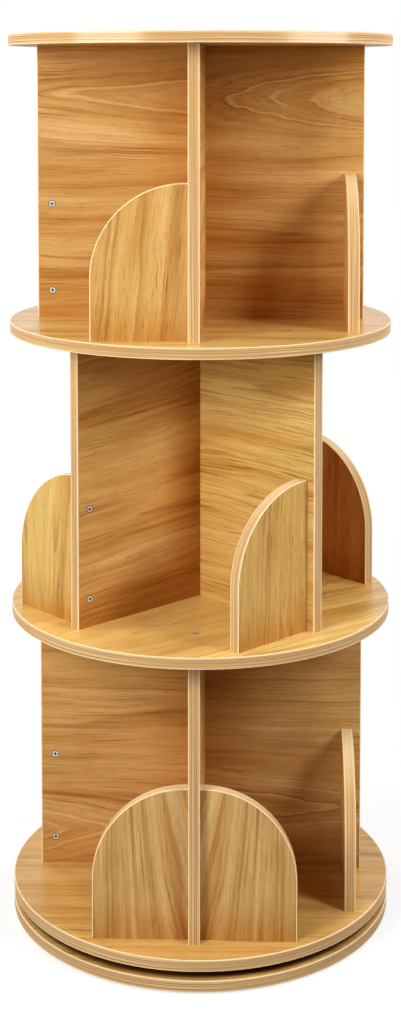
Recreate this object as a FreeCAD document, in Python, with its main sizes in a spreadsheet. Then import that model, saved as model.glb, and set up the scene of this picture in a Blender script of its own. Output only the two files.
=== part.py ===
import FreeCAD, Part
import enum
import os
import re

import Sketcher

# Rotating media tower: round boards with a cross of dividers in each of three tiers, turning on a ball
# bearing above a round base. Millimetres, +Z up, the floor at z = 0 and the turning axis on Z.

SIZES = {
    # Round boards
    "disc_radius": 210,
    "board_thick": 12,
    "band_thick": 1,
    "band_round": 0.6,
    # Tiers and their dividers
    "tier_height": 300,
    "divider_setback": 30,
    "slot_clearance": 0.2,
    "middle_tier_turn": 45,
    # Arched stops at the ends of the dividers
    "stop_width": 100,
    "stop_height": 160,
    "stop_top_flat": 3,
    "stop_inset": 10,
    # Countersunk screws
    "screw_head_radius": 4,
    "screw_head_depth": 2.4,
    "screw_shank_radius": 1.9,
    "screw_point": 4,
    "screw_clearance": 0.05,
    "recess_reach": 2.2,
    "recess_width": 1,
    "recess_depth": 1.5,
    "shelf_screw_setback": 44,
    "shelf_screw_length": 40,
    "stop_screw_length": 40,
    "stop_screw_low": 30,
    "stop_screw_high": 126,
    "pair_screw_near": 25,
    "pair_screw_far": 75,
    # Turntable between the base and the bottom shelf
    "turntable_gap": 9.5,
    "ring_height": 8,
    "inner_ring_width": 16,
    "outer_ring_width": 14,
    "ball_circle_radius": 105,
    "ball_radius": 2.5,
    "ball_clearance": 0.15,
    "ball_count": 24,
    "race_gap": 1.2,
    "cage_thick": 1.2,
    "cage_height": 6.4,
    "cage_clearance": 0.12,
    "base_screw_inset": 8.8,
    "base_screw_length": 18,
    "ring_screw_inset": 7,
    "ring_screw_length": 16,
    "ring_screw_turn": 45,
    # Foot pads
    "pad_radius": 11,
    "pad_thick": 2,
    "pad_setback": 30,
    "pad_count": 6,
}
ARMS = 4
FULL_TURN = 360
QUARTER_TURN = FULL_TURN / ARMS
TOUCHING = 1e-4

# A sketch numbers the points of a line or an arc in this order.
SketchPoint = enum.IntEnum("SketchPoint", ["START", "END", "CENTRE"])

doc = FreeCAD.newDocument("rotating_media_tower")
sheet = doc.addObject("Spreadsheet::Sheet", "sizes")
for row, (alias, number) in enumerate(SIZES.items(), start=1):
    sheet.set(f"A{row}", alias)
    sheet.set(f"B{row}", str(number))
    sheet.setAlias(f"B{row}", alias)
doc.recompute()

# Heights, as formulas on the sheet
BASE_TOP = "(pad_thick + board_thick)"
TIERS = ("lower", "middle", "upper")
TIER_TURN = {"lower": "0", "middle": "middle_tier_turn", "upper": "0"}
PITCH = "(tier_height + board_thick)"
BALL_LEVEL = "(turntable_gap / 2)"

# Places along an arm of the cross, measured from the turning axis
REACH = "(disc_radius - divider_setback)"
STOP_BACK = f"({REACH} - stop_inset - board_thick)"
STOP_MIDDLE = f"({REACH} - stop_inset - board_thick / 2)"
SHELF_SCREW_RADIUS = f"({REACH} - shelf_screw_setback)"
HALF_BOARD = "(board_thick / 2)"


def shelf_level(number):
    """Underside of a round board above the turntable, the bottom shelf being number 0."""
    return f"({BASE_TOP} + turntable_gap + {number} * {PITCH})"


def tier_level(number):
    """Floor of a tier, the lower one being number 0."""
    return f"({shelf_level(number)} + board_thick)"


def bound(formula):
    """The formula with each size's name pointing at its cell."""
    return re.sub(r"[a-z_]+", lambda word: f"sizes.{word[0]}" if word[0] in SIZES else word[0], formula)


def number_of(formula):
    """What the formula comes to now."""
    return float(sheet.evalExpression(bound(formula)))


nodes = []


def new_body(label, level="0", turn="0", solids=1):
    """An empty sub-part whose own z = 0 lies at level, turned about the tower's axis."""
    body = doc.addObject("PartDesign::Body", label)
    body.Label = label
    body.AllowCompound = True
    body.setExpression("Placement.Base.z", bound(level))
    body.setExpression("Placement.Rotation.Angle", bound(f"({turn}) * 1 deg"))
    nodes.append((body, solids))
    return body


def origin_feature(body, role):
    return next(feature for feature in body.Origin.OriginFeatures if feature.Role == role)


def new_sketch(body, plane, offset=("0", "0", "0")):
    """A sketch on one of the body's own planes, shifted in that plane's directions."""
    sketch = body.newObject("Sketcher::SketchObject", "outline")
    sketch.AttachmentSupport = (origin_feature(body, plane), [""])
    sketch.MapMode = "FlatFace"
    for axis, formula in zip("xyz", offset):
        sketch.setExpression(f"AttachmentOffset.Base.{axis}", bound(formula))
    return sketch


def place_point(sketch, geometry, end, x, y=None):
    """Ties a point of the sketch to its formulas, or to an axis where the formula is 0. The sketch's
    upright axis is its line -2, its level axis is line -1, and that line's first point is the origin."""
    for kind, formula, axis in (("DistanceX", x, -2), ("DistanceY", y, -1)):
        if formula is None:
            continue
        if formula == "0":
            sketch.addConstraint(Sketcher.Constraint("PointOnObject", geometry, int(end), axis))
        else:
            index = sketch.addConstraint(
                Sketcher.Constraint(kind, -1, 1, geometry, int(end), number_of(formula))
            )
            sketch.setExpression(f"Constraints[{index}]", bound(formula))


def draw_circle(sketch, radius, x="0", y="0"):
    centre = FreeCAD.Vector(number_of(x), number_of(y), 0)
    circle = sketch.addGeometry(Part.Circle(centre, FreeCAD.Vector(0, 0, 1), number_of(radius)))
    place_point(sketch, circle, SketchPoint.CENTRE, x, y)
    index = sketch.addConstraint(Sketcher.Constraint("Radius", circle, number_of(radius)))
    sketch.setExpression(f"Constraints[{index}]", bound(radius))


def draw_outline(sketch, corners):
    """A closed outline. A corner is (x, y), or (x, y, (centre x, centre y, way)) where an arc leaves it,
    with way 1 for an arc that turns left and -1 for one that turns right."""
    points = [FreeCAD.Vector(number_of(corner[0]), number_of(corner[1]), 0) for corner in corners]
    starts, ends = [], []
    for corner, here, there in zip(corners, points, points[1:] + points[:1]):
        if len(corner) == 2:
            line = sketch.addGeometry(Part.LineSegment(here, there))
            starts.append((line, SketchPoint.START))
            ends.append((line, SketchPoint.END))
            continue
        centre_x, centre_y, way = corner[2]
        centre = FreeCAD.Vector(number_of(centre_x), number_of(centre_y), 0)
        first, last = (here, there) if way > 0 else (there, here)
        circle = Part.Circle(centre, FreeCAD.Vector(0, 0, 1), (first - centre).Length)
        arc = sketch.addGeometry(Part.ArcOfCircle(circle, circle.parameter(first), circle.parameter(last)))
        order = (SketchPoint.START, SketchPoint.END) if way > 0 else (SketchPoint.END, SketchPoint.START)
        starts.append((arc, order[0]))
        ends.append((arc, order[1]))
        place_point(sketch, arc, SketchPoint.CENTRE, centre_x)
    for (line, end), (following, start) in zip(ends, starts[1:] + starts[:1]):
        sketch.addConstraint(Sketcher.Constraint("Coincident", line, int(end), following, int(start)))
    for (geometry, end), corner in zip(starts, corners):
        place_point(sketch, geometry, end, corner[0], corner[1])


def pad(body, sketch, length):
    feature = body.newObject("PartDesign::Pad", "pad")
    feature.Profile = sketch
    feature.setExpression("Length", bound(length))
    body.Tip = feature
    return feature


def pocket(body, sketch, length, reverse=False):
    feature = body.newObject("PartDesign::Pocket", "pocket")
    feature.Profile = sketch
    feature.setExpression("Length", bound(length))
    feature.Reversed = reverse
    body.Tip = feature
    return feature


def turn_about_upright(body, kind, plane, offset, corners):
    """Revolution or Groove of an outline about the upright line through its sketch's own origin."""
    sketch = new_sketch(body, plane, offset)
    draw_outline(sketch, corners)
    feature = body.newObject(f"PartDesign::{kind}", kind.lower())
    feature.Profile = sketch
    feature.ReferenceAxis = (sketch, ["V_Axis"])
    feature.Angle = FULL_TURN
    body.Tip = feature
    return feature


def repeat_round_axis(body, features, count):
    pattern = body.newObject("PartDesign::PolarPattern", "pattern")
    pattern.Originals = features
    pattern.Axis = (origin_feature(body, "Z_Axis"), [""])
    pattern.Angle = FULL_TURN
    pattern.setExpression("Occurrences", bound(count))
    body.Tip = pattern
    return pattern


# Screws and the holes that take them share one outline, apart from the clearance.


def screw_outline(length, way):
    """Half a countersunk screw with its head flush at the origin, pointing along way."""
    return [
        ("0", "0"),
        ("screw_head_radius", "0"),
        ("screw_shank_radius", f"{way} * screw_head_depth"),
        ("screw_shank_radius", f"{way} * ({length} - screw_point)"),
        ("0", f"{way} * {length}"),
    ]


def hole_outline(length, way):
    """The same half outline, wider by the clearance all round, with a flat end."""
    return [
        ("0", "0"),
        ("screw_head_radius + screw_clearance", "0"),
        ("screw_shank_radius + screw_clearance", f"{way} * screw_head_depth"),
        ("screw_shank_radius + screw_clearance", f"{way} * ({length} + screw_clearance)"),
        ("0", f"{way} * ({length} + screw_clearance)"),
    ]


def recess_corners():
    """The cross in a screw's head."""
    near, far = "(recess_width / 2)", "recess_reach"
    quarter = [(near, near), (near, far)]
    turns = [("{0}", "{1}"), ("-{1}", "{0}"), ("-{0}", "-{1}"), ("{1}", "-{0}")]
    corners = []
    for turned_x, turned_y in turns:
        corners += [(turned_x.format(x, y), turned_y.format(x, y)) for x, y in quarter]
        corners.append((turned_x.format(f"-{near}", far), turned_y.format(f"-{near}", far)))
    return corners


class UprightSeat:
    """Where a screw's head lies when its axis is upright, and which way it points."""

    def __init__(self, x, y, z, way):
        self.turn_plane = "XZ_Plane"
        self.turn_offset = (x, z, f"-({y})")
        self.face_plane = "XY_Plane"
        self.face_offset = (x, y, z)
        self.way = way
        self.recess_reverse = way > 0


class LevelSeat:
    """Where a screw's head lies when its axis runs level, along -Y."""

    def __init__(self, x, y, z):
        self.turn_plane = "XY_Plane"
        self.turn_offset = (x, y, z)
        self.face_plane = "XZ_Plane"
        self.face_offset = (x, z, f"-({y})")
        self.way = -1
        self.recess_reverse = True


def add_screw(body, seat, length):
    shank = turn_about_upright(
        body, "Revolution", seat.turn_plane, seat.turn_offset, screw_outline(length, seat.way)
    )
    cross = new_sketch(body, seat.face_plane, seat.face_offset)
    draw_outline(cross, recess_corners())
    return [shank, pocket(body, cross, "recess_depth", seat.recess_reverse)]


def cut_screw_hole(body, seat, length):
    return [
        turn_about_upright(
            body, "Groove", seat.turn_plane, seat.turn_offset, hole_outline(length, seat.way)
        )
    ]


def arm_seat(radius, turn, level, way):
    """Seat of an upright screw at a radius along an arm."""
    angle = f"({turn}) * 1 deg"
    return UprightSeat(f"{radius} * cos({angle})", f"{radius} * sin({angle})", level, way)


def stop_seats():
    """Seats of the two screws through a divider into the stop on its clockwise side."""
    return [LevelSeat(STOP_MIDDLE, HALF_BOARD, height) for height in ("stop_screw_low", "stop_screw_high")]


# Round boards


def disc_board(label, level):
    body = new_body(label, level)
    outline = new_sketch(body, "XY_Plane")
    draw_circle(outline, "disc_radius - band_thick")
    pad(body, outline, "board_thick")
    return body


def disc_band(label, level):
    """The strip round a disc's edge, its outer corners rounded."""
    body = new_body(label, level)
    inside = "disc_radius - band_thick"
    rounding = "disc_radius - band_round"
    upper = "board_thick - band_round"
    turn_about_upright(
        body,
        "Revolution",
        "XZ_Plane",
        ("0", "0", "0"),
        [
            (inside, "0"),
            (rounding, "0", (rounding, "band_round", 1)),
            ("disc_radius", "band_round"),
            ("disc_radius", upper, (rounding, upper, 1)),
            (rounding, "board_thick"),
            (inside, "board_thick"),
        ],
    )


def screws_on_arms(label, level, seat, length, more_seats=()):
    """One node of equal screws: one on each arm, and any more at seats of their own."""
    body = new_body(label, level, solids=ARMS + len(more_seats))
    repeat_round_axis(body, add_screw(body, seat, length), str(ARMS))
    for more in more_seats:
        add_screw(body, more, length)


def holes_on_arms(body, seat, length, more_seats=()):
    repeat_round_axis(body, cut_screw_hole(body, seat, length), str(ARMS))
    for more in more_seats:
        cut_screw_hole(body, more, length)


def pair_stop_seats():
    """Seats under the bottom shelf of the screws that hold the stop facing the front one."""
    return [
        UprightSeat(f"{HALF_BOARD} + {away}", f"-{STOP_MIDDLE}", "0", 1)
        for away in ("pair_screw_near", "pair_screw_far")
    ]


def shelves():
    """The boards above the turntable, each screwed to the tier below it and the tier above it."""
    for number, label in enumerate(("bottom_shelf", "lower_middle_shelf", "upper_middle_shelf", "top_disc")):
        level = shelf_level(number)
        board = disc_board(label, level)
        disc_band(f"{label}_edge_band", level)
        if number > 0:
            turn = TIER_TURN[TIERS[number - 1]]
            seat = arm_seat(SHELF_SCREW_RADIUS, turn, "board_thick", -1)
            holes_on_arms(board, seat, "shelf_screw_length")
            screws_on_arms(f"{label}_screws_down", level, seat, "shelf_screw_length")
        if number < len(TIERS):
            turn = TIER_TURN[TIERS[number]]
            seat = arm_seat(SHELF_SCREW_RADIUS, turn, "0", 1)
            more_seats = pair_stop_seats() if number == 0 else []
            holes_on_arms(board, seat, "shelf_screw_length", more_seats)
            screws_on_arms(f"{label}_screws_up", level, seat, "shelf_screw_length", more_seats)
        if number == 0:
            holes_on_arms(board, ring_screw_seat("-ring_height"), "ring_screw_length")


# Base and turntable

INNER_RING_BORE = "(ball_circle_radius - race_gap - inner_ring_width)"
OUTER_RING_RIM = "(ball_circle_radius + race_gap + outer_ring_width)"
RACE_RADIUS = "(ball_radius + ball_clearance)"
RACE_HALF_OPENING = f"sqrt({RACE_RADIUS}^2 - race_gap^2)"


def ring_screw_seat(level):
    return arm_seat(f"({OUTER_RING_RIM} - ring_screw_inset)", "ring_screw_turn", level, 1)


def base_screw_seat(level):
    return arm_seat(f"({INNER_RING_BORE} + base_screw_inset)", "ring_screw_turn", level, 1)


def base():
    board = disc_board("base_disc", "pad_thick")
    holes_on_arms(board, base_screw_seat("0"), "base_screw_length")
    disc_band("base_disc_edge_band", "pad_thick")
    screws_on_arms("base_screws", "pad_thick", base_screw_seat("0"), "base_screw_length")
    pads = new_body("foot_pads", solids=SIZES["pad_count"])
    outline = new_sketch(pads, "XY_Plane")
    draw_circle(outline, "pad_radius", "disc_radius - pad_setback")
    repeat_round_axis(pads, [pad(pads, outline, "pad_thick")], "pad_count")


def bearing_ring(label, plain_side, race_side, low, high, way):
    """A flat ring with a round race for the balls in one of its sides."""
    body = new_body(label, BASE_TOP)
    lower = f"{BALL_LEVEL} - {RACE_HALF_OPENING}"
    upper = f"{BALL_LEVEL} + {RACE_HALF_OPENING}"
    turn_about_upright(
        body,
        "Revolution",
        "XZ_Plane",
        ("0", "0", "0"),
        [
            (plain_side, low),
            (race_side, low),
            (race_side, lower, ("ball_circle_radius", BALL_LEVEL, way)),
            (race_side, upper),
            (race_side, high),
            (plain_side, high),
        ],
    )
    return body


def turntable():
    inner = bearing_ring(
        "turntable_inner_ring", INNER_RING_BORE, "ball_circle_radius - race_gap", "0", "ring_height", -1
    )
    holes_on_arms(inner, base_screw_seat("-board_thick"), "base_screw_length")
    under = "(turntable_gap - ring_height)"
    outer = bearing_ring(
        "turntable_outer_ring", OUTER_RING_RIM, "ball_circle_radius + race_gap", under, "turntable_gap", 1
    )
    holes_on_arms(outer, ring_screw_seat(under), "ring_screw_length")
    screws_on_arms("turntable_screws", BASE_TOP, ring_screw_seat(under), "ring_screw_length")

    balls = new_body("turntable_balls", BASE_TOP, solids=SIZES["ball_count"])
    ball = turn_about_upright(
        balls,
        "Revolution",
        "XZ_Plane",
        ("ball_circle_radius", BALL_LEVEL, "0"),
        [("0", "-ball_radius", ("0", "0", 1)), ("0", "ball_radius")],
    )
    repeat_round_axis(balls, [ball], "ball_count")

    cage = new_body("turntable_ball_cage", BASE_TOP)
    inside, outside = ("ball_circle_radius - cage_thick / 2", "ball_circle_radius + cage_thick / 2")
    low, high = (f"{BALL_LEVEL} - cage_height / 2", f"{BALL_LEVEL} + cage_height / 2")
    turn_about_upright(
        cage,
        "Revolution",
        "XZ_Plane",
        ("0", "0", "0"),
        [(inside, low), (outside, low), (outside, high), (inside, high)],
    )
    window = new_sketch(cage, "YZ_Plane", ("0", BALL_LEVEL, "ball_circle_radius + cage_thick"))
    draw_circle(window, "ball_radius + cage_clearance")
    repeat_round_axis(cage, [pocket(cage, window, "2 * cage_thick")], "ball_count")


# Dividers and stops


def divider(label, level, turn, slot_at_foot):
    """A board as wide as the cross, slotted to half its height to lap over the other one."""
    body = new_body(label, level, turn)
    end = f"{REACH} - band_thick"
    slot = "(board_thick + slot_clearance) / 2"
    if slot_at_foot:
        depth = "(tier_height + slot_clearance) / 2"
        lap = [(f"-{slot}", "0"), (f"-{slot}", depth), (slot, depth), (slot, "0")]
        corners = [(f"-({end})", "0"), *lap, (end, "0"), (end, "tier_height"), (f"-({end})", "tier_height")]
    else:
        depth = "(tier_height - slot_clearance) / 2"
        lap = [(slot, "tier_height"), (slot, depth), (f"-{slot}", depth), (f"-{slot}", "tier_height")]
        corners = [(f"-({end})", "0"), (end, "0"), (end, "tier_height"), *lap, (f"-({end})", "tier_height")]
    outline = new_sketch(body, "XZ_Plane", ("0", "0", f"-{HALF_BOARD}"))
    draw_outline(outline, corners)
    pad(body, outline, "board_thick")
    holes = []
    for seat in stop_seats():
        holes += cut_screw_hole(body, seat, "stop_screw_length")
    from_below = arm_seat(SHELF_SCREW_RADIUS, "0", "-board_thick", 1)
    from_above = arm_seat(SHELF_SCREW_RADIUS, "0", "tier_height + board_thick", -1)
    for seat in (from_below, from_above):
        holes += cut_screw_hole(body, seat, "shelf_screw_length")
    repeat_round_axis(body, holes, "2")


def divider_bands(label, level, turn):
    """The strips on the upright ends of a tier's dividers, their outer corners rounded."""
    body = new_body(label, level, turn, solids=ARMS)
    inside = f"{REACH} - band_thick"
    rounding = f"{REACH} - band_round"
    side = f"{HALF_BOARD} - band_round"
    outline = new_sketch(body, "XY_Plane")
    draw_outline(
        outline,
        [
            (inside, f"-{HALF_BOARD}"),
            (rounding, f"-{HALF_BOARD}", (rounding, f"-({side})", 1)),
            (REACH, f"-({side})"),
            (REACH, side, (rounding, side, 1)),
            (rounding, HALF_BOARD),
            (inside, HALF_BOARD),
        ],
    )
    repeat_round_axis(body, [pad(body, outline, "tier_height")], str(ARMS))


def stop_edge(side, inset):
    """A stop's free edge, from its foot over the arch to the divider. The side is 1 or -1 of the arm."""
    foot = f"{side} * ({HALF_BOARD} + stop_width - {inset})"
    spring = "stop_height - (stop_width - stop_top_flat)"
    crown = f"{side} * ({HALF_BOARD} + stop_top_flat)"
    top = f"stop_height - {inset}"
    return [
        (foot, "0"),
        (foot, spring, (crown, spring, side)),
        (crown, top),
        (f"{side} * {HALF_BOARD}", top),
    ]


def stop_board(label, level, turn, side):
    """An arched board that stands square to a divider near its end."""
    body = new_body(label, level, turn)
    outline = new_sketch(body, "YZ_Plane", ("0", "0", STOP_BACK))
    draw_outline(outline, [(f"{side} * {HALF_BOARD}", "0"), *stop_edge(side, "band_thick")])
    pad(body, outline, "board_thick")
    return body


def stop_band(body, plane, side):
    """The strip over a stop's free edge, its outer corners rounded."""
    foot, spring, crown, end = stop_edge(side, "band_thick")
    arch_x, arch_y, way = spring[2]
    inner = [end, (*crown, (arch_x, arch_y, -way)), spring[:2], foot]
    outline = new_sketch(body, plane, ("0", "0", STOP_BACK))
    draw_outline(outline, [*stop_edge(side, "0"), *inner])
    strip = pad(body, outline, "board_thick")
    doc.recompute()
    rounding = body.newObject("PartDesign::Fillet", "rounding")
    rounding.Base = (strip, outer_corners(outline, strip, side))
    rounding.setExpression("Radius", bound("band_round"))
    body.Tip = rounding
    return rounding


def outer_corners(outline, strip, side):
    """Names of a strip's edges along the outside of both its faces, found by the middle of each."""
    foot, spring, crown, end = (
        FreeCAD.Vector(number_of(corner[0]), number_of(corner[1]), 0) for corner in stop_edge(side, "0")
    )
    centre = FreeCAD.Vector(crown.x, spring.y, 0)
    diagonal = (spring - centre + crown - centre).normalize()
    middles = [(foot + spring) / 2, centre + diagonal * (spring - centre).Length, (crown + end) / 2]
    middles += [middle + FreeCAD.Vector(0, 0, number_of("board_thick")) for middle in middles]
    marks = [Part.Vertex(outline.Placement.multVec(middle)) for middle in middles]
    return [
        f"Edge{number}"
        for number, edge in enumerate(strip.Shape.Edges, start=1)
        if any(edge.distToShape(mark)[0] < TOUCHING for mark in marks)
    ]


ARM_NAMES = {
    "lower": ("right", "back", "left", "front"),
    "middle": ("back_right", "back_left", "front_left", "front_right"),
    "upper": ("right", "back", "left", "front"),
}


def tiers():
    for number, tier in enumerate(TIERS):
        level, turn = tier_level(number), TIER_TURN[tier]
        divider(f"{tier}_divider_slot_at_foot", level, turn, True)
        divider(f"{tier}_divider_slot_at_top", level, f"{turn} + {QUARTER_TURN}", False)
        divider_bands(f"{tier}_divider_edge_bands", level, turn)
        for arm, name in enumerate(ARM_NAMES[tier]):
            stop = stop_board(f"{tier}_stop_{name}", level, f"{turn} + {arm * QUARTER_TURN}", -1)
            for seat in stop_seats():
                cut_screw_hole(stop, seat, "stop_screw_length")
        has_pair = tier == "lower"
        bands = new_body(f"{tier}_stop_edge_bands", level, turn, solids=ARMS + has_pair)
        whole = repeat_round_axis(bands, [stop_band(bands, "YZ_Plane", -1)], str(ARMS))
        whole.TransformMode = "Whole shape"
        if has_pair:
            pair_stop(level)
            stop_band(bands, "XZ_Plane", 1)
        screws = new_body(f"{tier}_stop_screws", level, turn, solids=2 * ARMS)
        heads = []
        for seat in stop_seats():
            heads += add_screw(screws, seat, "stop_screw_length")
        repeat_round_axis(screws, heads, str(ARMS))


def pair_stop(level):
    """The stop on the other side of the lower tier's front arm, screwed up through the bottom shelf."""
    stop = stop_board("lower_stop_front_pair", level, f"-{QUARTER_TURN}", 1)
    for away in ("pair_screw_near", "pair_screw_far"):
        seat = UprightSeat(STOP_MIDDLE, f"{HALF_BOARD} + {away}", "-board_thick", 1)
        cut_screw_hole(stop, seat, "shelf_screw_length")


base()
turntable()
shelves()
tiers()
doc.recompute()

failed = [item.Name for item in doc.Objects if "Invalid" in item.State or "Error" in item.State]
for body, solids in nodes:
    if body.Shape.isNull() or not body.Shape.isValid() or len(body.Shape.Solids) != solids:
        failed.append(body.Label)
if failed:
    raise RuntimeError(f"not built: {failed}")

os.makedirs("parts", exist_ok=True)
for body, solids in nodes:
    body.Shape.exportStep(f"parts/{body.Label}.step")
    print(body.Label, solids, round(body.Shape.Volume, 1))
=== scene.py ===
import math
from collections import namedtuple

import bmesh
import bpy
from mathutils import Color, Matrix, Vector


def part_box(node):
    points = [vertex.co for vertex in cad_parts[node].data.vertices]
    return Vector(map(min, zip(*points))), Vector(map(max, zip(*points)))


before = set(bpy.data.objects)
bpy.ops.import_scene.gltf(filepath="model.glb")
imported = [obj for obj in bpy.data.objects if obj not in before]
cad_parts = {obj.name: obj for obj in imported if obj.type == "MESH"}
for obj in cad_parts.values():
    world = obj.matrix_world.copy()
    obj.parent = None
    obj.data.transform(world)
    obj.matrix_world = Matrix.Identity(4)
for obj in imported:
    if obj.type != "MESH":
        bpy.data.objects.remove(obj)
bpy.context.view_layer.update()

# Patterns are laid out in millimetres, the frame is in metres
MM_PER_M = 1000.0
UP = Vector((0.0, 0.0, 1.0))
UNTURNED = Matrix.Identity(3)
FRAME_ORIGIN = Vector((0.0, 0.0, 0.0))


def box_size(node_name):
    """A piece's width, depth and height in millimetres."""
    low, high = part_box(node_name)
    return (high - low) * MM_PER_M


def box_centre(node_name):
    """The middle of a piece's box, in metres."""
    low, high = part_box(node_name)
    return (low + high) / 2


BOARD_THICK = box_size("base_disc").z
DISC_RADIUS = box_size("base_disc_edge_band").x / 2
DIVIDER_HEIGHT = box_size("upper_divider_slot_at_foot").z
STOP_HEIGHT = box_size("upper_stop_edge_bands").z
# From the upright axis to the middle of a stop's thickness
STOP_MIDDLE = -box_centre("upper_stop_front").y * MM_PER_M
# How far a tier is turned about the upright axis, and where an arm points, in degrees
TIER_TURN = {"lower": 0.0, "middle": 45.0, "upper": 0.0}
ARM_ANGLE = {
    "right": 0.0,
    "back_right": 45.0,
    "back": 90.0,
    "back_left": 135.0,
    "left": 180.0,
    "front_left": 225.0,
    "front": 270.0,
    "front_pair": 270.0,
    "front_right": 315.0,
}


def paint(red, green, blue):
    """A colour given in screen values from 0 to 255, as the linear values that shaders take."""
    screen = Color((red / 255, green / 255, blue / 255))
    return (*screen.from_srgb_to_scene_linear(), 1.0)


def heading(degrees):
    """The level direction at an angle from the frame's X axis, anticlockwise seen from above."""
    turn = math.radians(degrees)
    return Vector((math.cos(turn), math.sin(turn), 0.0))


class Value:
    """One node output. Arithmetic on it adds Math nodes to the same node tree."""

    def __init__(self, nodes, socket):
        self.nodes = nodes
        self.socket = socket

    def math(self, operation, *others):
        return self.nodes.math(operation, self, *others)

    def __add__(self, other):
        return self.math("ADD", other)

    def __sub__(self, other):
        return self.math("SUBTRACT", other)

    def __rsub__(self, other):
        return self.nodes.math("SUBTRACT", other, self)

    def __mul__(self, other):
        return self.math("MULTIPLY", other)

    def __truediv__(self, other):
        return self.math("DIVIDE", other)

    def __abs__(self):
        return self.math("ABSOLUTE")

    __radd__ = __add__
    __rmul__ = __mul__


class NodeTree:
    """The nodes of one material or of the world."""

    def __init__(self, owner):
        owner.use_nodes = True
        self.owner = owner
        self.tree = owner.node_tree
        self.tree.nodes.clear()

    def node(self, kind, settings=None, inputs=None, output=0):
        """Adds a node: its settings first, then the values or links of its sockets."""
        made = self.tree.nodes.new("ShaderNode" + kind)
        for name, setting in (settings or {}).items():
            if name == "stops":
                self.set_stops(made.color_ramp.elements, setting)
            else:
                setattr(made, name, setting)
        for name, given in (inputs or {}).items():
            if isinstance(given, Value):
                self.tree.links.new(given.socket, made.inputs[name])
            else:
                made.inputs[name].default_value = given
        return Value(self, made.outputs[output]) if made.outputs else made

    def set_stops(self, elements, stops):
        """Gives a colour ramp its stops, each a position and a colour."""
        while len(elements) < len(stops):
            elements.new(1.0)
        for element, (position, colour) in zip(elements, stops):
            element.position = position
            element.color = colour

    def math(self, operation, *values):
        return self.node("Math", {"operation": operation}, dict(enumerate(values)))

    def vector(self, operation, *vectors):
        return self.node("VectorMath", {"operation": operation}, dict(enumerate(vectors)))

    def length(self, vector):
        return self.node("VectorMath", {"operation": "LENGTH"}, {0: vector}, "Value")

    def combine(self, x, y, z):
        return self.node("CombineXYZ", {}, {0: x, 1: y, 2: z})

    def parts(self, vector):
        return [self.node("SeparateXYZ", {}, {0: vector}, axis) for axis in "XYZ"]

    def place(self, turn=UNTURNED, centre=FRAME_ORIGIN):
        """Millimetres from a centre, along the directions that are the rows of a turn."""
        inputs = {
            "Vector": self.node("TexCoord", output="Object"),
            "Location": -(turn @ centre) * MM_PER_M,
            "Rotation": turn.to_euler(),
            "Scale": (MM_PER_M,) * 3,
        }
        return self.node("Mapping", {"vector_type": "POINT"}, inputs)

    def mix(self, factor, first, second, blend="MIX"):
        """A mix of two colours."""
        settings = {"data_type": "RGBA", "blend_type": blend}
        return self.node("Mix", settings, {0: factor, 6: first, 7: second}, 2)

    def step(self, value, low, high):
        """0 on low's side, 1 on high's side and a smooth change between."""
        settings = {"interpolation_type": "SMOOTHSTEP"}
        return self.node("MapRange", settings, {"Value": value, "From Min": low, "From Max": high})

    def fade(self, value, near, far):
        """1 on near's side, 0 on far's side and a smooth change between."""
        return 1 - self.step(value, near, far)

    def clouds(self, place, lengths, detail=2.0):
        """Cloudy values about 0, whose patches have the given lengths."""
        stretched = self.vector("DIVIDE", place, lengths)
        return self.node("TexNoise", {}, {"Vector": stretched, "Scale": 1.0, "Detail": detail}) - 0.5

    def patches(self, place, pattern):
        """0 outside a pattern's patches, 1 inside them."""
        return self.step(self.clouds(place, pattern.lengths, pattern.detail), pattern.start, pattern.full)

    def aslant(self, low, high):
        """0 where a surface is seen head on, 1 where it is seen aslant."""
        facing = self.node("LayerWeight", {}, {"Blend": 0.5}, "Facing")
        return self.step(facing, low, high)

    def surface(self, fixed, **varied):
        """The glossy surface shader and the output: fixed values and linked ones by socket name."""
        inputs = {**fixed, **{name.replace("_", " "): value for name, value in varied.items()}}
        shader = self.node("BsdfPrincipled", {}, inputs)
        self.node("OutputMaterial", {}, {"Surface": shader})
        return self.owner


def new_finish(name):
    return NodeTree(bpy.data.materials.new(name))


def coat(node_name, material):
    """Gives a piece of the frame its finish."""
    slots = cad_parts[node_name].data.materials
    slots.clear()
    slots.append(material)


# Wood boards

WOOD_SHADES = (
    (0.0, paint(128, 65, 21)),
    (0.3, paint(173, 112, 51)),
    (0.52, paint(200, 148, 83)),
    (0.75, paint(215, 169, 105)),
    (1.0, paint(229, 191, 137)),
)
ARCH_LIGHT = paint(234, 192, 130)
LINE_DARK = paint(126, 64, 20)
PORE_DARK = paint(118, 70, 30)
OLIVE = (0.96, 1.0, 0.93, 1.0)
RUSSET = (0.86, 0.78, 0.7, 1.0)
# Painted shade: a board's colour is multiplied by this in its corners
CORNER_SHADE_TINT = (0.84, 0.7, 0.53, 1.0)

# The point of a board's arched figure along and across it, how fast its arches widen, how far apart they
# lie, how far across the board they still slant the grain, and how ragged they are
Figure = namedtuple("Figure", "along across widening spacing spread raggedness")

# A sheet of facing: its red, green and blue beside the shades above, how plainly its arches show, how wide
# and how plain its tones are, how close its rings lie, how long, wide and plain its fine lines are, how
# plain its fibres are, and what its colour is multiplied by where shade is painted into its corners
Sheet = namedtuple("Sheet", "tint arches tone_width tones rings line_length line_width lines fibres corner")

# Patches of a pattern: their lengths along the grain, across it and through the board, how fine their
# outlines are, and how high their clouds are where they start to show and where they show fully
Patches = namedtuple("Patches", "lengths detail start full")

# A board's nodes, the places along and across it, where its clouds are drawn, its figure, how far out in
# its rings a point lies, and where the patterns that follow the rings are drawn
Grain = namedtuple("Grain", "nodes u v drawn figure radius rings")

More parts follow.
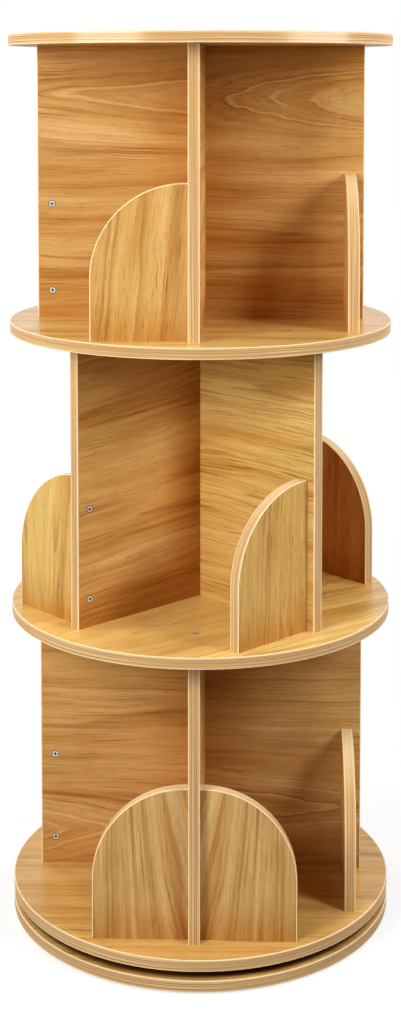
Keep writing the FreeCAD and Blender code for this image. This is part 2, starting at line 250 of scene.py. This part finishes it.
ORANGE_SHEET = Sheet(
    tint=(1.0, 1.0, 1.0),
    arches=1.0,
    tone_width=28,
    tones=1.0,
    rings=7,
    line_length=110,
    line_width=1.5,
    lines=0.5,
    fibres=0.33,
    corner=CORNER_SHADE_TINT,
)
# With deeper painted shade in its corners
RUSSET_SHEET = ORANGE_SHEET._replace(tint=(0.97, 0.95, 0.87), corner=(0.79, 0.61, 0.42, 1.0))
# Calmer, on the boards that point at the front and are mostly seen aslant
CALM_SHEET = ORANGE_SHEET._replace(tint=(1.08, 1.08, 1.08), tones=0.85, rings=4, lines=0.2, fibres=0.25)
GOLDEN_SHEET = ORANGE_SHEET._replace(
    tint=(1.03, 1.17, 1.07),
    tones=0.85,
    rings=15,
    line_length=90,
    line_width=2.0,
    lines=0.72,
    corner=(0.93, 0.87, 0.78, 1.0),
)
YELLOW_SHEET = ORANGE_SHEET._replace(tint=(1.0, 1.07, 1.0), tones=0.85, line_width=1.4, lines=0.45)
# Paler, on the two middle shelves: partly the wood's own tone, partly painted light standing in for light
# from above
PALE_SHEET = YELLOW_SHEET._replace(tint=(1.22, 1.4, 1.3))
# Its corner colour is shade painted into the gap under the bottom shelf
BASE_SHEET = YELLOW_SHEET._replace(corner=(0.22, 0.12, 0.06, 1.0))
STOP_SHEET = ORANGE_SHEET._replace(
    tint=(1.03, 1.12, 1.05),
    arches=0.15,
    tones=0.85,
    rings=10,
    line_length=34,
    line_width=1.4,
    lines=0.75,
)
PAIR_SHEET = STOP_SHEET._replace(
    tint=(0.9, 0.98, 1.08),
    tone_width=13,
    tones=1.2,
    rings=6,
    line_length=40,
    line_width=1.6,
    lines=0.4,
)

# Where a facing changes its look
BUSY_AREAS = Patches((130, 45, 90), 2, -0.1, 0.14)
ARCH_FADES = Patches((80, 35, 60), 2, -0.1, 0.14)
LATE_WOOD = Patches((260, 20, 60), 1, -0.1, 0.16)
HUES = Patches((400, 50, 90), 1, -0.15, 0.15)
BLOTCHES = Patches((85, 28, 60), 2, 0.02, 0.2)
PORES = Patches((12, 0.7, 4), 1, 0.12, 0.2)
# How long the clouds of the other patterns are along the grain, across it and through the board
SWAY = (230, 90, 200)
WOBBLE = (110, 26, 60)
JAGS = (24, 8, 60)
STREAKS = (240, 6.5, 60)
FIBRES = (40, 1.1, 8)
GROWTH = (1100, 36, 120)
TONE_LENGTH, TONE_DEPTH = 380, 90
LINE_DEPTH = 30
LINES_SHOW = (0.06, 0.17)
# Each board's patterns are drawn this far from those of the board before it
DRAWN_APART = (511.0, 173.0, 67.0)
RINGS_APART = (311, 97)

# How far the grain sways and wobbles across the board
SWAY_BY, WOBBLE_BY = 26, 5
# How much the rings bend, and how much they change, through the board
BEND_THROUGH, CHANGE_THROUGH = 0.1, 0.5
# How round the arches' points are
BLUNT = 5.0
# The share of a figure's spread in which it slants the grain fully
SLANT_CORE = 0.2
# What shows fully as far as the first number and fades out by the second: the first arch and all arches,
# counted from the figure's point, the figure to both sides of its axis, an arch's light line and the shade
# inside it
FIRST_ARCH = (0.3, 0.6)
ALL_ARCHES = (1.2, 1.8)
FIGURE_REACH = (25, 75)
ARCH_LINE_WIDTH = (0.3, 1.9)
ARCH_SHADE_WIDTH = (0.04, 0.5)
# Through a growth ring, the late wood deepens and then ends
LATE_WOOD_DEEPENS = (0.66, 0.94)
LATE_WOOD_ENDS = (0.95, 1.0)

# How plainly each pattern shows
MEAN_SHADE = 0.58
ARCH_SHADE = 0.15
ARCH_LINE = 0.55
HUE_CHANGE = 0.5
BLOTCH_CHANGE = 0.5
LATE_WOOD_LINE = 0.4
# In calm areas, and how much more in busy ones
STREAKS_CALM, STREAKS_BUSIER = 0.3, 0.36
LINES_CALM, LINES_BUSIER = 0.3, 0.7

# How far the painted shade of a corner reaches from the crossing, from a shelf and up a stop
CROSSING_SHADE_REACH, SHELF_SHADE_REACH, FOOT_SHADE_REACH = 80, 70, 50
# From the upright axis: the gap under the bottom shelf is dark as far as here, and lit from there
GAP_DARK_TO, GAP_LIT_FROM = DISC_RADIUS - 11, DISC_RADIUS - 2

# The clear film on a facing shows where it is seen aslant, but not edge on
WOOD_GLOSS = {"IOR": 1.12, "Coat IOR": 1.5, "Coat Roughness": 0.3}
WOOD_FILM = 0.8
FILM_ASLANT = (0.25, 0.65)
FILM_EDGE_ON = (0.92, 0.98)
# How rough the facing is, and how much rougher its fibres and pores are
WOOD_ROUGHNESS, GRAIN_ROUGHNESS = 0.34, 0.12
FIBRE_HEIGHT, PORE_DEPTH = 0.5, 0.8
GRAIN_RELIEF = 0.36
# In metres
GRAIN_DEPTH = 0.0003


def divider_corner_shade(nodes, u, v):
    """Painted shade: 1 where a divider meets the crossing or a shelf, 0 well away from both."""
    shelf = DIVIDER_HEIGHT / 2
    at_crossing = nodes.fade(abs(u), BOARD_THICK / 2, CROSSING_SHADE_REACH)
    at_shelves = nodes.fade(abs(v), shelf, shelf - SHELF_SHADE_REACH)
    return at_crossing.math("MAXIMUM", at_shelves)


def stop_foot_shade(nodes, u, v):
    """Painted shade: 1 at a stop's foot, 0 well above it."""
    foot = -STOP_HEIGHT / 2
    return nodes.fade(u, foot, foot + FOOT_SHADE_REACH)


def gap_over_base(nodes, u, v):
    """1 where the bottom shelf hides the base disc from the light, 0 at its rim."""
    from_axis = (u * u + v * v).math("SQRT")
    return nodes.fade(from_axis, GAP_DARK_TO, GAP_LIT_FROM)


def figure_at(u, figures):
    """A board's only figure or, on a divider, the figure of the arm that a point lies on."""
    if len(figures) == 1:
        return figures[0]
    on_plus_side = u.math("GREATER_THAN", 0.0)
    return Figure(*(minus + (plus - minus) * on_plus_side for minus, plus in zip(*figures)))


def lay_grain(nodes, place, figures, seed):
    """Rings that run along the board, sway, and bend round its figure's point."""
    u, v, w = nodes.parts(place)
    drawn = nodes.vector("ADD", place, [seed * apart for apart in DRAWN_APART])
    figure = figure_at(u, figures)
    off_axis = v - figure.across
    slanted = nodes.fade(abs(off_axis), figure.spread * SLANT_CORE, figure.spread)
    sway = nodes.clouds(drawn, SWAY) * SWAY_BY
    wobble = nodes.clouds(drawn, WOBBLE) * WOBBLE_BY
    jags = nodes.clouds(drawn, JAGS) * slanted * figure.raggedness
    bent = nodes.length(nodes.combine(off_axis + sway + wobble + jags, BLUNT, w * BEND_THROUGH))
    radius = bent - (u - figure.along) * figure.widening * slanted
    along_apart, radius_apart = (seed * apart for apart in RINGS_APART)
    rings = nodes.combine(u + along_apart, radius + radius_apart, w * CHANGE_THROUGH)
    return Grain(nodes, u, v, drawn, figure, radius, rings)


def arch_marks(grain):
    """The light line at each arch's edge and the shade inside it, fading away from the figure's point."""
    nodes, figure = grain.nodes, grain.figure
    turns = (grain.radius - BLUNT) / figure.spacing
    inside = turns.math("FRACT")
    to_edge = (0.5 - abs(inside - 0.5)) * figure.spacing
    first_arch = nodes.fade(abs(turns), *FIRST_ARCH)
    unbroken = nodes.patches(grain.drawn, ARCH_FADES).math("MAXIMUM", first_arch)
    near_axis = nodes.fade(abs(grain.v - figure.across), *FIGURE_REACH)
    near_point = nodes.fade(abs(turns + 0.5), *ALL_ARCHES)
    shown = unbroken * near_axis * near_point
    line = nodes.fade(to_edge, *ARCH_LINE_WIDTH)
    shadow = nodes.fade(inside, *ARCH_SHADE_WIDTH)
    return line * shown, shadow * shown


def late_wood(grain, count):
    """Dark late wood: it deepens through each growth ring, ends sharply and is missing in places."""
    nodes = grain.nodes
    growth = (nodes.clouds(grain.rings, GROWTH, detail=1) * count).math("FRACT")
    dark = nodes.step(growth, *LATE_WOOD_DEEPENS) * nodes.fade(growth, *LATE_WOOD_ENDS)
    return dark * nodes.patches(grain.rings, LATE_WOOD)


def sheet_shades(tint):
    """The wood's shades on a sheet of the given tint."""
    red, green, blue = tint
    return [(place, (r * red, g * green, b * blue, a)) for place, (r, g, b, a) in WOOD_SHADES]


def wood_colour(grain, sheet, fibres, pores):
    """A facing's colour: broad tones first, then streaks, lines, late wood, arches and pores."""
    nodes, drawn, rings = grain.nodes, grain.drawn, grain.rings
    arch_lines, arch_shadows = arch_marks(grain)
    busy = nodes.patches(drawn, BUSY_AREAS)
    tones = nodes.clouds(rings, (TONE_LENGTH, sheet.tone_width, TONE_DEPTH)) * sheet.tones
    streaks = nodes.clouds(rings, STREAKS) * (STREAKS_CALM + busy * STREAKS_BUSIER)
    lines = nodes.clouds(rings, (sheet.line_length, sheet.line_width, LINE_DEPTH))
    dark_lines = nodes.step(lines, *LINES_SHOW) * (LINES_CALM + busy * LINES_BUSIER) * sheet.lines
    hue = nodes.patches(rings, HUES)
    blotches = nodes.patches(drawn, BLOTCHES)

    in_arches = arch_shadows * (sheet.arches * ARCH_SHADE)
    shade = MEAN_SHADE + tones + streaks + fibres * sheet.fibres - in_arches
    colour = nodes.node("ValToRGB", {"stops": sheet_shades(sheet.tint)}, {"Fac": shade}, "Color")
    colour = nodes.mix(hue * HUE_CHANGE, colour, OLIVE, "MULTIPLY")
    colour = nodes.mix(blotches * BLOTCH_CHANGE, colour, RUSSET, "MULTIPLY")
    colour = nodes.mix(dark_lines, colour, LINE_DARK)
    colour = nodes.mix(late_wood(grain, sheet.rings) * LATE_WOOD_LINE, colour, LINE_DARK)
    colour = nodes.mix(arch_lines * (sheet.arches * ARCH_LINE), colour, ARCH_LIGHT)
    return nodes.mix(pores * sheet.fibres, colour, PORE_DARK)


def wood_board(name, along, across, centre, figures, seed, sheet, painted_shade_mask=None):
    """Wood-grain facing under a clear film, with shade painted into its corners."""
    nodes = new_finish(name)
    place = nodes.place(Matrix((along, across, along.cross(across))), centre)
    grain = lay_grain(nodes, place, figures, seed)
    fibres = nodes.clouds(grain.drawn, FIBRES)
    pores = nodes.patches(grain.drawn, PORES)
    colour = wood_colour(grain, sheet, fibres, pores)
    # Painted shade, where other pieces keep the light off the board
    if painted_shade_mask:
        colour = nodes.mix(painted_shade_mask(nodes, grain.u, grain.v), colour, sheet.corner, "MULTIPLY")
    relief = {
        "Strength": sheet.fibres * GRAIN_RELIEF,
        "Distance": GRAIN_DEPTH,
        "Height": fibres * FIBRE_HEIGHT - pores * PORE_DEPTH,
    }
    bump = nodes.node("Bump", {}, relief)
    roughness = WOOD_ROUGHNESS + fibres * GRAIN_ROUGHNESS + pores * GRAIN_ROUGHNESS
    film = nodes.aslant(*FILM_ASLANT) * (1 - nodes.aslant(*FILM_EDGE_ON)) * WOOD_FILM
    return nodes.surface(WOOD_GLOSS, Base_Color=colour, Roughness=roughness, Coat_Weight=film, Normal=bump)


# The angle of a disc's grain from the frame's X axis, its figure and its sheet
Disc = namedtuple("Disc", "grain figure sheet")

DISCS = {
    "base_disc": Disc(0.0, Figure(40, 60, 0.1, 13, 90, 5), BASE_SHEET),
    "bottom_shelf": Disc(0.0, Figure(-30, 90, 0.06, 14, 90, 5), YELLOW_SHEET),
    "lower_middle_shelf": Disc(38.0, Figure(60, -70, 0.08, 15, 90, 5), PALE_SHEET),
    "upper_middle_shelf": Disc(0.0, Figure(20, 110, 0.06, 13, 90, 5), PALE_SHEET),
    "top_disc": Disc(0.0, Figure(-60, -40, 0.1, 15, 90, 5), YELLOW_SHEET),
}
# The arm on the minus side of the crossing first, then the one on its plus side
DIVIDER_FIGURES = {
    "upper_divider_slot_at_foot": (Figure(-153, 97, 0.09, 16, 80, 3), Figure(31, 90, 0.28, 13, 55, 12)),
    "upper_divider_slot_at_top": (Figure(-120, -60, 0.1, 16, 80, 5), Figure(90, 60, 0.12, 15, 80, 8)),
    "middle_divider_slot_at_foot": (Figure(-60, 152, -0.11, 18, 400, 3), Figure(80, -50, 0.1, 16, 80, 6)),
    "middle_divider_slot_at_top": (Figure(-80, 160, 0.04, 17, 300, 3), Figure(110, 20, 0.14, 15, 80, 6)),
    "lower_divider_slot_at_foot": (Figure(-102, -112, -0.26, 13, 70, 5), Figure(150, -80, -0.12, 18, 80, 6)),
    "lower_divider_slot_at_top": (Figure(-90, 80, 0.1, 16, 80, 5), Figure(60, -90, 0.1, 15, 80, 5)),
}
# Cut from other sheets than the orange one
DIVIDER_SHEET = {
    "upper_divider_slot_at_top": CALM_SHEET,
    "middle_divider_slot_at_foot": RUSSET_SHEET,
    "middle_divider_slot_at_top": GOLDEN_SHEET,
    "lower_divider_slot_at_top": CALM_SHEET,
}
STOP_TINT = {
    "upper_stop_front": (0.92, 0.95, 0.9),
    "middle_stop_front_left": (1.0, 1.13, 1.0),
    "middle_stop_back_left": (1.0, 1.13, 1.0),
    # Darker: partly the wood's own tone, partly painted shade for its inner face, which lies in shadow
    "middle_stop_back_right": (0.88, 0.79, 1.0),
}
# In degrees, how far the grain of some stops leans from upright, and that of the others at most
STOP_LEAN = {"upper_stop_front": 9.0, "lower_stop_front": 0.0, "lower_stop_front_pair": 0.0}
STOP_LEAN_MOST = 3.0
# How far across a stop the axis of its rings lies at most
STOP_AXIS_MOST = 70
STOP_FIGURE = Figure(-260, STOP_AXIS_MOST, 0.07, 16, 200, 2)
# In radians, how the lean and the axis swing to and fro from one stop to the next
LEAN_SWING, AXIS_SWING = 2.4, 1.7
# The two stops on either side of the lower front arm are a matched pair: their grain fans out from that
# arm, and the second one mirrors the first
MATCHED_PAIR = {"lower_stop_front": 1, "lower_stop_front_pair": -1}
PAIR_FIGURE = Figure(-400, 56, 0.21, 16, 120, 2)
PAIR_SEED = 30


def finish_discs():
    for seed, (name, disc) in enumerate(DISCS.items(), start=1):
        place = (heading(disc.grain), heading(disc.grain + 90), box_centre(name))
        painted_shade_mask = gap_over_base if name == "base_disc" else None
        coat(name, wood_board(name, *place, (disc.figure,), seed, disc.sheet, painted_shade_mask))


def finish_dividers():
    for seed, (name, figures) in enumerate(DIVIDER_FIGURES.items(), start=11):
        tier = name.split("_")[0]
        crossing = 90 if name.endswith("top") else 0
        place = (heading(TIER_TURN[tier] + crossing), UP, box_centre(name))
        sheet = DIVIDER_SHEET.get(name, ORANGE_SHEET)
        coat(name, wood_board(name, *place, figures, seed, sheet, divider_corner_shade))


def stop_arms():
    """The stops, each with the name of its arm."""
    arms = {name: name.split("_stop_")[-1] for name in sorted(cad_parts)}
    return {name: arm for name, arm in arms.items() if arm in ARM_ANGLE}


def finish_stops():
    for seed, (name, arm) in enumerate(stop_arms().items(), start=31):
        outward, sideways = heading(ARM_ANGLE[arm]), heading(ARM_ANGLE[arm] + 90)
        lean = math.radians(STOP_LEAN.get(name, STOP_LEAN_MOST * math.sin(seed * LEAN_SWING)))
        along = (UP + sideways * math.tan(lean)).normalized()
        across = along.cross(outward).normalized()
        if name in MATCHED_PAIR:
            across *= MATCHED_PAIR[name]
            look = ((PAIR_FIGURE,), PAIR_SEED, PAIR_SHEET)
        else:
            figure = STOP_FIGURE._replace(across=STOP_AXIS_MOST * math.cos(seed * AXIS_SWING))
            sheet = STOP_SHEET._replace(tint=STOP_TINT.get(name, STOP_SHEET.tint))
            look = ((figure,), seed, sheet)
        coat(name, wood_board(name, along, across, box_centre(name), *look, stop_foot_shade))


# Edge bands

BAND_SHADES = (
    (0.0, paint(152, 110, 62)),
    (0.4, paint(190, 151, 97)),
    (0.65, paint(207, 170, 114)),
    (1.0, paint(224, 193, 142)),
)
BAND_LINE = paint(152, 98, 52)
BAND_CORNER = paint(246, 219, 172)
# The mean shade, and how plainly the hairs and the patches show in it
MEAN_BAND_SHADE, HAIR_SHADE, PATCH_SHADE = 0.55, 0.4, 0.5
# How long each pattern's patches are across the band and, both ways, along it
BAND_TONES = (2.2, 170, 170)
BAND_HAIRS = (0.5, 60, 60)
BAND_PATCHES = (30, 90, 90)
BAND_WANDER = (60, 110, 110)
# Each band's patterns are drawn this far from those of the band before it
BANDS_APART = (53, 29)
# Where the darker lines lie across the band, and how far they wander from there
BAND_LINES_AT = (-2.7, 0.5, 2.6)
BAND_WANDER_BY = 2.5
BAND_LINE_WIDTH = (0.2, 0.9)
# How plain the lines are, and how much that changes from patch to patch
LINE_PLAINNESS, LINE_CHANGE = 0.5, 1.5
# From a band's corner inwards: trimmed pale as far as the first, plain from the second
CORNER_PALE_TO, CORNER_PLAIN_FROM = 0.6, 1.2
CORNER_PALENESS = 0.85
# Painted light on a stop's band: how far up the stop it starts, as a share of its height, and how pale it
# makes the crown
CROWN_FROM = 0.7
CROWN_PALENESS = 0.6
BAND_GLOSS = {**WOOD_GLOSS, "Coat Roughness": 0.2}
BAND_FILM = 0.65
BAND_FILM_FADES = (0.4, 0.7)
# How rough the band is, and how much rougher its hairs are
BAND_ROUGHNESS, HAIR_ROUGHNESS = 0.33, 0.15
HAIR_RELIEF = 0.1
# In metres
HAIR_DEPTH = 0.0002


def edge_band(nodes, across, first, second, seed, painted_light=0.0):
    """Edge band: fine lines along the strip, pale corners where the facing is trimmed, and painted light
    where given.
    """
    first_apart, second_apart = (seed * apart for apart in BANDS_APART)
    place = nodes.combine(across, first + first_apart, second + second_apart)
    tones = nodes.clouds(place, BAND_TONES)
    hairs = nodes.clouds(place, BAND_HAIRS)
    patches = nodes.clouds(place, BAND_PATCHES)
    wander = nodes.clouds(place, BAND_WANDER, detail=1) * BAND_WANDER_BY
    shade = MEAN_BAND_SHADE + tones + hairs * HAIR_SHADE + patches * PATCH_SHADE
    colour = nodes.node("ValToRGB", {"stops": BAND_SHADES}, {"Fac": shade}, "Color")
    for position in BAND_LINES_AT:
        line = nodes.fade(abs(across + wander - position), *BAND_LINE_WIDTH)
        colour = nodes.mix(line * (LINE_PLAINNESS + patches * LINE_CHANGE), colour, BAND_LINE)
    edge = BOARD_THICK / 2
    corner = nodes.step(abs(across), edge - CORNER_PLAIN_FROM, edge - CORNER_PALE_TO) * CORNER_PALENESS
    # Pale where the facing is trimmed, and where light is painted on
    colour = nodes.mix(corner.math("MAXIMUM", painted_light), colour, BAND_CORNER)
    bump = nodes.node("Bump", {}, {"Strength": HAIR_RELIEF, "Distance": HAIR_DEPTH, "Height": hairs})
    roughness = BAND_ROUGHNESS + hairs * HAIR_ROUGHNESS
    film = (1 - nodes.aslant(*BAND_FILM_FADES)) * BAND_FILM
    return nodes.surface(BAND_GLOSS, Base_Color=colour, Roughness=roughness, Coat_Weight=film, Normal=bump)


def turned_place(nodes, degrees):
    """Millimetres in the frame, turned about the upright axis so that a tier's arms lie along X and Y."""
    return nodes.parts(nodes.place(Matrix.Rotation(math.radians(-degrees), 3, "Z")))


def finish_disc_band(disc, seed):
    name = disc + "_edge_band"
    nodes = new_finish(name)
    x, y, z = turned_place(nodes, 0.0)
    across = z - box_centre(disc).z * MM_PER_M
    coat(name, edge_band(nodes, across, x, y, seed))


def finish_divider_bands(tier, turn, seed):
    name = tier + "_divider_edge_bands"
    nodes = new_finish(name)
    x, y, z = turned_place(nodes, turn)
    on_y_arm = abs(x).math("LESS_THAN", abs(y))
    across = y + (x - y) * on_y_arm
    coat(name, edge_band(nodes, across, x, z, seed))


def finish_stop_bands(tier, turn, seed):
    name = tier + "_stop_edge_bands"
    nodes = new_finish(name)
    x, y, z = turned_place(nodes, turn)
    across = abs(x).math("MAXIMUM", abs(y)) - STOP_MIDDLE
    along_shelf = abs(x).math("MINIMUM", abs(y))
    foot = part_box(name)[0].z * MM_PER_M
    # Painted light: the crown of the band, at the top of the stop, is made paler
    crown = nodes.step(z, foot + STOP_HEIGHT * CROWN_FROM, foot + STOP_HEIGHT) * CROWN_PALENESS
    coat(name, edge_band(nodes, across, along_shelf, z, seed, crown))


def finish_bands():
    for seed, disc in enumerate(DISCS, start=1):
        finish_disc_band(disc, seed)
    for seed, (tier, turn) in enumerate(TIER_TURN.items(), start=11):
        finish_divider_bands(tier, turn, seed)
        finish_stop_bands(tier, turn, seed)


# Metal, nylon and foam

ZINC = (paint(220, 220, 221), paint(247, 246, 244))
ALUMINIUM = (paint(168, 170, 173), paint(206, 208, 210))
BALL_STEEL = (paint(190, 192, 196), paint(214, 216, 220))
NYLON = (paint(196, 192, 180), paint(222, 219, 208))
FOAM = (paint(44, 41, 39), paint(70, 66, 62))
# Painted shade in the screws' recesses and round the thin rims of their heads
RECESS_SHADE_DARK = paint(38, 36, 34)
SMUDGES = (9, 9, 9)
# How plainly the smudges show beside the marks, and the range of both from the first colour to the second
SMUDGE_SHARE = 0.6
MARK_RANGE = (-0.3, 0.3)
MARK_RELIEF = 0.2
MARK_ROUGHNESS, SMUDGE_ROUGHNESS = 0.2, 0.1
# In metres, how far off a wall still makes a recess and a back still makes a rim thin
RECESS_REACH, RIM_REACH = 0.003, 0.001
# From full painted shade to none, as the share of directions that are free that far
RECESS_FREE, RIM_FREE = (0.3, 0.9), (0.35, 0.75)
# In metres, how deep the marks are
PLAIN_DEPTH, BALL_DEPTH, FOAM_DEPTH = 0.00005, 0.00001, 0.0002


def shade_recesses_and_rims(nodes, colour, recess_and_rim_shade):
    """A colour with shade painted into recesses and round thin rims."""
    near, thin = {"only_local": True}, {"only_local": True, "inside": True}
    openness = nodes.node("AmbientOcclusion", near, {"Distance": RECESS_REACH}, "AO")
    thickness = nodes.node("AmbientOcclusion", thin, {"Distance": RIM_REACH}, "AO")
    colour = nodes.mix(nodes.fade(openness, *RECESS_FREE) * recess_and_rim_shade, colour, RECESS_SHADE_DARK)
    return nodes.mix(nodes.fade(thickness, *RIM_FREE) * recess_and_rim_shade, colour, RECESS_SHADE_DARK)


def plain_finish(name, colours, lengths, roughness, metal, depth=PLAIN_DEPTH, recess_and_rim_shade=0.0):
    """A finish between two colours, with brushed or mottled marks of the given lengths."""
    nodes = new_finish(name)
    place = nodes.place()
    marks = nodes.clouds(place, lengths, detail=3)
    smudges = nodes.clouds(place, SMUDGES)
    colour = nodes.mix(nodes.step(marks + smudges * SMUDGE_SHARE, *MARK_RANGE), *colours)
    # Painted shade in recesses and round thin rims
    if recess_and_rim_shade:
        colour = shade_recesses_and_rims(nodes, colour, recess_and_rim_shade)
    bump = nodes.node("Bump", {}, {"Strength": MARK_RELIEF, "Distance": depth, "Height": marks})
    rough = roughness + marks * MARK_ROUGHNESS + smudges * SMUDGE_ROUGHNESS
    return nodes.surface({"Metallic": metal}, Base_Color=colour, Roughness=rough, Normal=bump)


def finish_fittings():
    zinc = plain_finish("zinc", ZINC, (0.5, 0.5, 2.0), roughness=0.32, metal=0.3, recess_and_rim_shade=0.95)
    aluminium = plain_finish("ring_aluminium", ALUMINIUM, (4, 4, 0.3), roughness=0.34, metal=1.0)
    steel = plain_finish("ball_steel", BALL_STEEL, (1, 1, 1), roughness=0.16, metal=1.0, depth=BALL_DEPTH)
    nylon = plain_finish("cage_nylon", NYLON, (1.5, 1.5, 1.5), roughness=0.5, metal=0.0)
    foam = plain_finish("pad_foam", FOAM, (0.6, 0.6, 0.6), roughness=0.9, metal=0.0, depth=FOAM_DEPTH)
    by_node = {
        "turntable_inner_ring": aluminium,
        "turntable_outer_ring": aluminium,
        "turntable_balls": steel,
        "turntable_ball_cage": nylon,
        "foot_pads": foam,
    }
    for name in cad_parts:
        if "screws" in name:
            coat(name, zinc)
        elif name in by_node:
            coat(name, by_node[name])


# Floor, light and camera

FLOOR_RADIUS = 9.0
FLOOR_CORNERS = 96
FLOOR_PALE = paint(243, 242, 240)
# What the floor throws back onto the tower
FLOOR_MUTED = paint(155, 154, 152)
WHITE = (1.0, 1.0, 1.0, 1.0)
SKY_STRENGTH = 0.03
# The floor shows the shadow near the tower and turns plain white further out
SHADOW_NEAR, SHADOW_FAR = 0.24, 0.6
FLOOR_WHITENESS = 0.72

# A lamp's degrees from the front, its distance from the axis, its height, its own two sides and its watts
Lamp = namedtuple("Lamp", "azimuth reach height width tall watts")

# How high on the upright axis the lamps are aimed, in metres
LAMP_AIM = 0.6
SOFTBOXES = {
    "left_softbox": Lamp(-38, 1.8, 1.17, 0.5, 0.8, 30),
    "right_softbox": Lamp(54, 1.6, 1.35, 0.4, 0.7, 19),
    "front_softbox": Lamp(-24, 2.2, 2.0, 0.4, 0.5, 10),
    "left_side_softbox": Lamp(-82, 2.2, 2.3, 0.6, 0.6, 24),
    "right_side_softbox": Lamp(86, 2.2, 2.3, 0.6, 0.6, 24),
    "back_left_softbox": Lamp(-138, 2.0, 1.3, 0.8, 0.8, 24),
    "back_right_softbox": Lamp(138, 2.0, 1.3, 0.8, 0.8, 20),
}
# Mirrored in the top disc's rim
GLOSS_CARDS = {
    "left_card": Lamp(-50, 1.8, 0.95, 1.3, 0.5, 19),
    "right_card": Lamp(72, 1.8, 0.95, 1.3, 0.5, 19),
}

CAMERA_AZIMUTH = math.radians(2.15)
CAMERA_DISTANCE = 1.8287
CAMERA_HEIGHT = 0.93
CAMERA_TILT = math.radians(3.847)
LENS_MM = 58.326
SENSOR_MM = 36.0
RISE_OF_LENS = -0.32


def seen_directly(nodes):
    """1 for what the camera sees directly, mirrored or through glass, otherwise 0."""
    camera, glossy, glass = (
        nodes.node("LightPath", output=ray)
        for ray in ("Is Camera Ray", "Is Glossy Ray", "Is Transmission Ray")
    )
    return camera.math("MAXIMUM", glossy).math("MAXIMUM", glass)


def make_world():
    world = bpy.data.worlds.new("studio")
    bpy.context.scene.world = world
    nodes = NodeTree(world)
    soft = nodes.node("Background", {}, {"Color": WHITE, "Strength": SKY_STRENGTH})
    white = nodes.node("Background", {}, {"Color": WHITE, "Strength": 1.0})
    both = nodes.node("MixShader", {}, {0: seen_directly(nodes), 1: soft, 2: white})
    nodes.node("OutputWorld", {}, {"Surface": both})


def floor_finish():
    """Pale near the tower, where it shows the shadow, and white further out. It lights the tower less."""
    nodes = new_finish("floor")
    from_axis = nodes.length(nodes.node("TexCoord", output="Object"))
    whiteness = FLOOR_WHITENESS + (1 - FLOOR_WHITENESS) * nodes.step(from_axis, SHADOW_NEAR, SHADOW_FAR)
    pale = nodes.node("BsdfDiffuse", {}, {"Color": FLOOR_PALE})
    muted = nodes.node("BsdfDiffuse", {}, {"Color": FLOOR_MUTED})
    white = nodes.node("Emission", {}, {"Color": WHITE, "Strength": 1.0})
    shown = nodes.node("MixShader", {}, {0: whiteness, 1: pale, 2: white})
    both = nodes.node("MixShader", {}, {0: seen_directly(nodes), 1: muted, 2: shown})
    nodes.node("OutputMaterial", {}, {"Surface": both})
    return nodes.owner


def make_floor():
    mesh = bpy.data.meshes.new("floor")
    shape = bmesh.new()
    bmesh.ops.create_circle(shape, cap_ends=True, segments=FLOOR_CORNERS, radius=FLOOR_RADIUS)
    shape.to_mesh(mesh)
    shape.free()
    mesh.materials.append(floor_finish())
    floor = bpy.data.objects.new("floor", mesh)
    bpy.context.scene.collection.objects.link(floor)


def softbox(name, lamp):
    """A rectangular studio light, aimed at the tower's axis and never seen mirrored."""
    light = bpy.data.lights.new(name, "AREA")
    light.shape = "RECTANGLE"
    light.size = lamp.width
    light.size_y = lamp.tall
    light.energy = lamp.watts
    stand = bpy.data.objects.new(name, light)
    stand.location = heading(lamp.azimuth - 90) * lamp.reach + UP * lamp.height
    stand.rotation_euler = (stand.location - UP * LAMP_AIM).to_track_quat("Z", "Y").to_euler()
    stand.visible_glossy = False
    bpy.context.scene.collection.objects.link(stand)
    return stand


def gloss_card(name, lamp, mirrored_in):
    """A bright card that lights nothing and is only mirrored, in the given pieces."""
    card = softbox(name, lamp)
    card.visible_glossy = True
    card.visible_diffuse = False
    card.light_linking.receiver_collection = mirrored_in


def make_lights():
    for name, lamp in SOFTBOXES.items():
        softbox(name, lamp)
    rim = bpy.data.collections.new("top_rim")
    rim.objects.link(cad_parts["top_disc_edge_band"])
    for name, lamp in GLOSS_CARDS.items():
        gloss_card(name, lamp, rim)


def make_camera():
    optics = bpy.data.cameras.new("camera")
    optics.lens = LENS_MM
    optics.sensor_width = SENSOR_MM
    optics.shift_y = RISE_OF_LENS
    camera = bpy.data.objects.new("camera", optics)
    camera.location = (
        math.sin(CAMERA_AZIMUTH) * CAMERA_DISTANCE,
        -math.cos(CAMERA_AZIMUTH) * CAMERA_DISTANCE,
        CAMERA_HEIGHT,
    )
    camera.rotation_euler = (math.pi / 2 - CAMERA_TILT, 0.0, CAMERA_AZIMUTH)
    bpy.context.scene.collection.objects.link(camera)
    bpy.context.scene.camera = camera


finish_discs()
finish_dividers()
finish_stops()
finish_bands()
finish_fittings()
make_world()
make_floor()
make_lights()
make_camera()
bpy.context.scene.view_settings.view_transform = "Standard"
